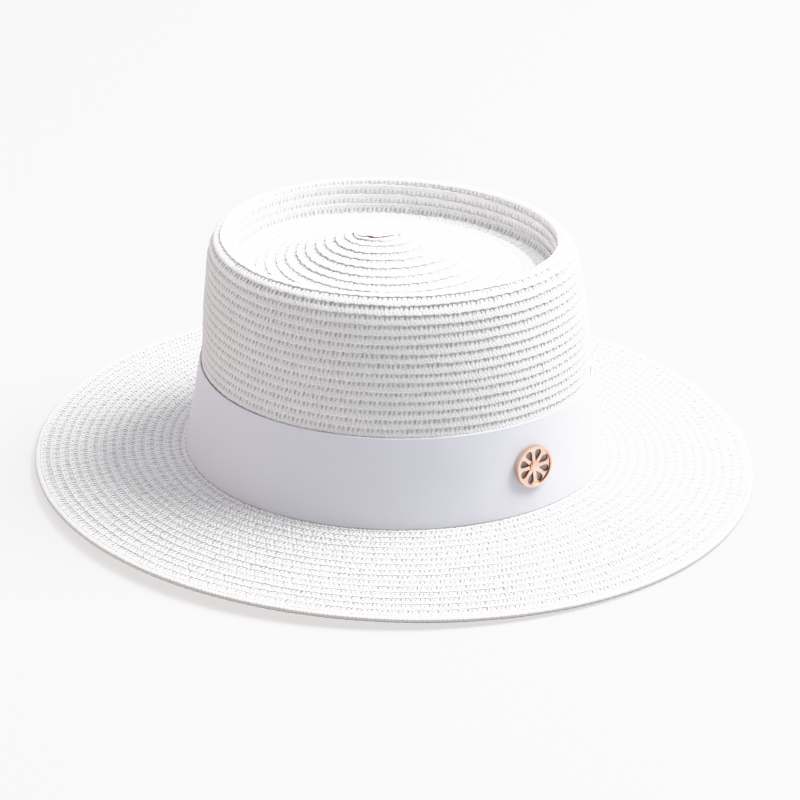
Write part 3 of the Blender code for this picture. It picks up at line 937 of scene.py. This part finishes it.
def edge_finish():
    """The folded edge: fine slanted strands, with painted shade on its outer side and a painted dark
    shadow line along its foot.
    """
    made = Finish("folded_edge", Roughness=0.62, Specular_IOR_Level=0.35)
    where = made.node("ShaderNodeUVMap", {"uv_map": "braid"})
    along, part = made.axes(where)
    uneven = made.noise(made.vector(along * 1.1, part * 3.0), 1.0, 3.0, 0.6)
    strand = made.math("PINGPONG", along * 2.5 + part * 1.5 + uneven * 1.6, 0.5) * 2.0
    rib = 1.0 - (1.0 - strand) ** 2.0
    fibre = made.noise(made.vector(along * 50.0, part * 20.0), 1.0, 3.0, 0.65)
    made.bump(rib * 0.6 + fibre * 0.25, 0.00028, 0.9)
    pale = made.blend(uneven, *EDGE_TONES)
    # Painted shade between the edge's strands.
    ribbed = made.blend((1.0 - rib) * 0.5, pale, EDGE_RIB_SHADE)
    # Painted shade on the outward face of the folded edge.
    side = 1.0 - made.step(made.math("PINGPONG", part - 0.98, 0.5), 0.08, 0.16)
    shaded = made.blend(side * 0.65, ribbed, EDGE_SIDE_SHADE)
    # Painted shadow: a dark brown line on the lower outer part of the edge, where it meets the
    # table's shade.
    low = 1.0 - made.step(abs(part - 0.86), 0.05, 0.10)
    foot_shadowed = made.blend(low * 0.96, shaded, EDGE_FOOT_SHADOW)
    made.paint(Base_Color=foot_shadowed, Roughness=0.50 + fibre * 0.25)
    return made.material


def ribbon_finish():
    """Smooth close-woven ribbon: fine ribs across it, a firm selvedge and a slight nap."""
    made = Finish("woven_ribbon", Roughness=0.55, Specular_IOR_Level=0.3,
                  Sheen_Weight=0.25, Sheen_Roughness=0.4)
    where = made.node("ShaderNodeUVMap", {"uv_map": "cloth"})
    along, part = made.axes(where)
    warp = made.math("PINGPONG", along * 2600.0, 0.5)
    weft = made.math("PINGPONG", part * 2600.0, 0.5)
    weave = warp * weft
    nap = made.noise(made.vector(along * 900.0, part * 900.0), 1.0, 3.0, 0.6)
    cloud = made.noise(made.vector(along * 60.0, part * 60.0), 1.0, 3.0, 0.5)
    border = made.math("PINGPONG", part, RIBBON_WIDTH / 2)
    selvedge = 1.0 - made.step(border, 0.0007, 0.0013)
    made.bump(weave * 0.8 + nap * 0.5 + cloud * 0.8 + selvedge * 0.6, 0.00006, 0.7)
    pale = made.blend(cloud, *RIBBON_TONES)
    worn = made.blend(nap * 0.12 + selvedge * 0.10, pale, RIBBON_PALE)
    made.paint(Base_Color=worn, Roughness=0.50 + nap * 0.15)
    return made.material


def badge_finish(name, bright, dull):
    """Polished rose gold plating over a casting."""
    made = Finish(name, Metallic=1.0)
    where = made.node("ShaderNodeTexCoord", output=3)
    cast = made.noise(where, 900.0, 3.0, 0.55)
    wear = made.noise(where, 220.0, 3.0, 0.6)
    made.bump(cast, 0.00002, 0.5)
    made.paint(Base_Color=made.blend(wear, bright, dull), Roughness=0.14 + wear * 0.16)
    return made.material


# Stage

FLOOR_SIZE = 12.0
FLOOR_DROP = 0.0002
CAMERA_AT = (0.14573, -1.30952, 0.71779)
CAMERA_TURN = (62.4684, -1.114, 6.836)    # degrees
LENS = 140.346
SKY_TINT = (0.90, 0.93, 1.0, 1.0)
SKY_LIGHT = 0.40

Lamp = namedtuple("Lamp", "name place aim size power tint")
LAMPS = [
    Lamp("key", (1.280, 0.440, 1.734), (0.0, 0.0, 0.05), 1.4, 68.0, (1.0, 0.99, 0.975)),
    Lamp("overhead", (0.0, 0.3, 2.6), (0.0, 0.0, 0.0), 3.0, 35.0, (0.96, 0.975, 1.0)),
    Lamp("left", (-2.2, -0.5, 0.5), (0.0, 0.0, 0.08), 1.0, 8.2, (1.0, 0.76, 0.65)),
]

# Light received and light shown, both linear, and the most light that the curve takes
Shown = namedtuple("Shown", "received shown")
SHOULDER_CURVE = [
    Shown(0.30, 0.30), Shown(0.50, 0.50), Shown(0.75, 0.75), Shown(0.90, 0.88),
    Shown(1.05, 0.95), Shown(1.25, 0.98), Shown(1.60, 0.997),
]
BRIGHTEST = 2.0


def stage_floor():
    deselect()
    bpy.ops.mesh.primitive_grid_add(x_subdivisions=8, y_subdivisions=8, size=FLOOR_SIZE,
                                    location=(0.0, 0.0, -FLOOR_DROP))
    floor = bpy.context.active_object
    floor.name = "studio_floor"
    made = Finish("studio_white", Roughness=0.7, Specular_IOR_Level=0.2,
                  Emission_Color=FLOOR_GLOW, Emission_Strength=0.60)
    where = made.node("ShaderNodeTexCoord", output=3)
    tone = made.noise(where, 0.9, 2.0, 0.5)
    made.paint(Base_Color=made.blend(tone, *FLOOR_TONES))
    floor.data.materials.append(made.material)


def softbox(lamp):
    light = bpy.data.lights.new(lamp.name, "AREA")
    light.shape = "DISK"
    light.size = lamp.size
    light.energy = lamp.power
    light.color = lamp.tint
    box = bpy.data.objects.new(lamp.name, light)
    box.location = lamp.place
    towards = Vector(lamp.aim) - Vector(lamp.place)
    box.rotation_euler = towards.to_track_quat("-Z", "Y").to_euler()
    bpy.context.scene.collection.objects.link(box)


def light_studio():
    world = bpy.data.worlds.new("studio")
    world.use_nodes = True
    sky = world.node_tree.nodes["Background"]
    sky.inputs["Color"].default_value = SKY_TINT
    sky.inputs["Strength"].default_value = SKY_LIGHT
    bpy.context.scene.world = world
    for lamp in LAMPS:
        softbox(lamp)
    soft_highlights(bpy.context.scene.view_settings)


def soft_highlights(view):
    """Plain colours, with a shoulder that keeps the straw's texture in the brightest parts."""
    view.view_transform = "Standard"
    view.use_curve_mapping = True
    view.curve_mapping.white_level = (BRIGHTEST,) * 3
    line = view.curve_mapping.curves[3]
    for spot in SHOULDER_CURVE:
        line.points.new(spot.received / BRIGHTEST, spot.shown)
    view.curve_mapping.update()


def camera():
    """The photo's view: a long lens, a little to the left of the badge and 28 degrees up."""
    lens = bpy.data.cameras.new("camera")
    lens.sensor_width = 36.0
    lens.lens = LENS
    made = bpy.data.objects.new("camera", lens)
    made.location = CAMERA_AT
    made.rotation_euler = Euler([math.radians(turn) for turn in CAMERA_TURN])
    bpy.context.scene.collection.objects.link(made)
    bpy.context.scene.camera = made


def main():
    camera()
    light_studio()
    stage_floor()
    fresh = braid_finish("plaited_straw_tip", TIP_PLAIT)
    folded = braid_finish("plaited_straw_start", START_PLAIT)
    inner = braid_finish("plaited_straw_recess", RECESS_PLAIT)
    rim = braid_finish("plaited_straw_rim", RIM_PLAIT)
    straw = braid_finish("plaited_straw", WALL_PLAIT)
    pressed = braid_finish("plaited_straw_pressed", BRIM_PLAIT)
    pieces = [
        crown_band("crown_tip", SPIRAL_START, 13.5, FINE_COLUMNS, fresh),
        crown_band("crown_recess", 13.5, 17.2, FINE_COLUMNS, inner),
        crown_band("crown_rim", 17.2, 19.0, FINE_COLUMNS, rim),
        crown_band("crown_wall", 19.0, 26.5, FINE_COLUMNS, straw),
        crown_band("crown_side", 26.5, 34.0, FINE_COLUMNS, straw),
        crown_band("crown_foot", 34.0, CROWN_TURNS, COARSE_COLUMNS, straw),
        braid_start(folded),
        thread_knot(thread_finish()),
    ]
    for piece in pieces:
        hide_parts("crown")
    brim = [
        brim_band("brim_inner", range(0, 9), FINE_COLUMNS, pressed),
        brim_band("brim_outer", range(9, BRIM_ROWS), FINE_COLUMNS, pressed),
        edge_roll(edge_finish()),
    ]
    for piece in brim:
        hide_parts("brim")
    for piece in pieces + brim:
        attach(piece, "root")
    band, flat = ribbon(ribbon_finish())
    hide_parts("hat_band")
    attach(band, "root")
    plated = badge_finish("rose_gold", *GOLD_TONES)
    # A darker rose gold for the gaps' walls: painted shade and reflection.
    hollow_shade = badge_finish("rose_gold_painted_shade", *HOLLOW_SHADE_TONES)
    flower = badge(plated, hollow_shade)
    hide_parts("badge")
    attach(flower, "root")


main()
